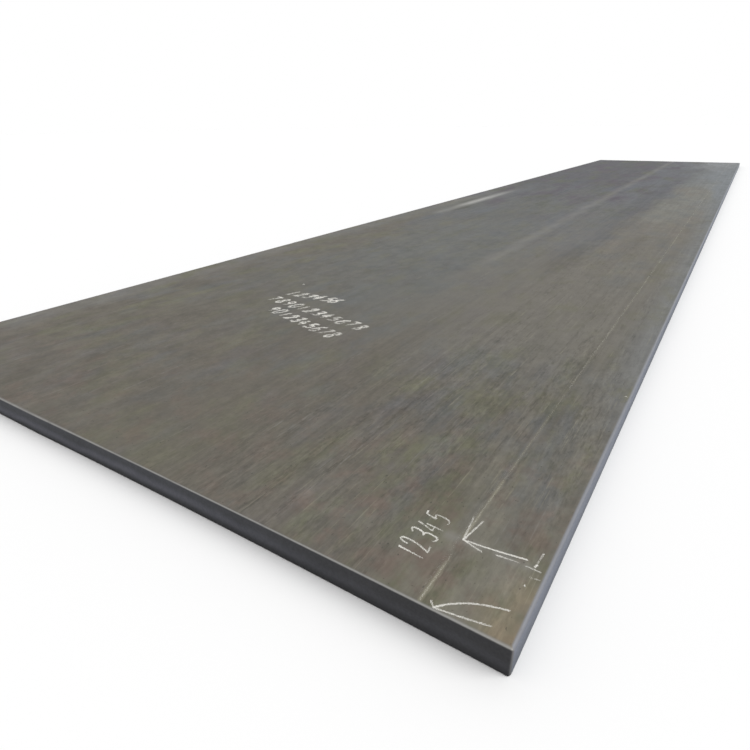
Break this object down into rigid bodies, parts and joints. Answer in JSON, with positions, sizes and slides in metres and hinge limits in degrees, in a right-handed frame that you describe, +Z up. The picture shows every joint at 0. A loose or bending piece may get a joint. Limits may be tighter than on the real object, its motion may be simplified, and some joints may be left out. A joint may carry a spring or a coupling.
{
  "type": "steel plate",
  "caption": "Heavy rolled steel plate with mill scale, rounded long upper edges and flame-cut ends, lying flat as stock for cutting, welding or bearing.",
  "frame": {"origin": "centre of the underside, the face that the plate rests on", "axes": "+X across the width, +Y along the length and rolling direction, +Z up through the thickness"},
  "size_m": [2.5, 12.15, 0.065],
  "materials": {
    "mill_scale": "matt grey-brown mill scale with rolling streaks, blue-grey patches and bare arrises"
  },
  "bodies": {
    "root": {"steel_plate": "mill_scale"}
  },
  "joints": []
}
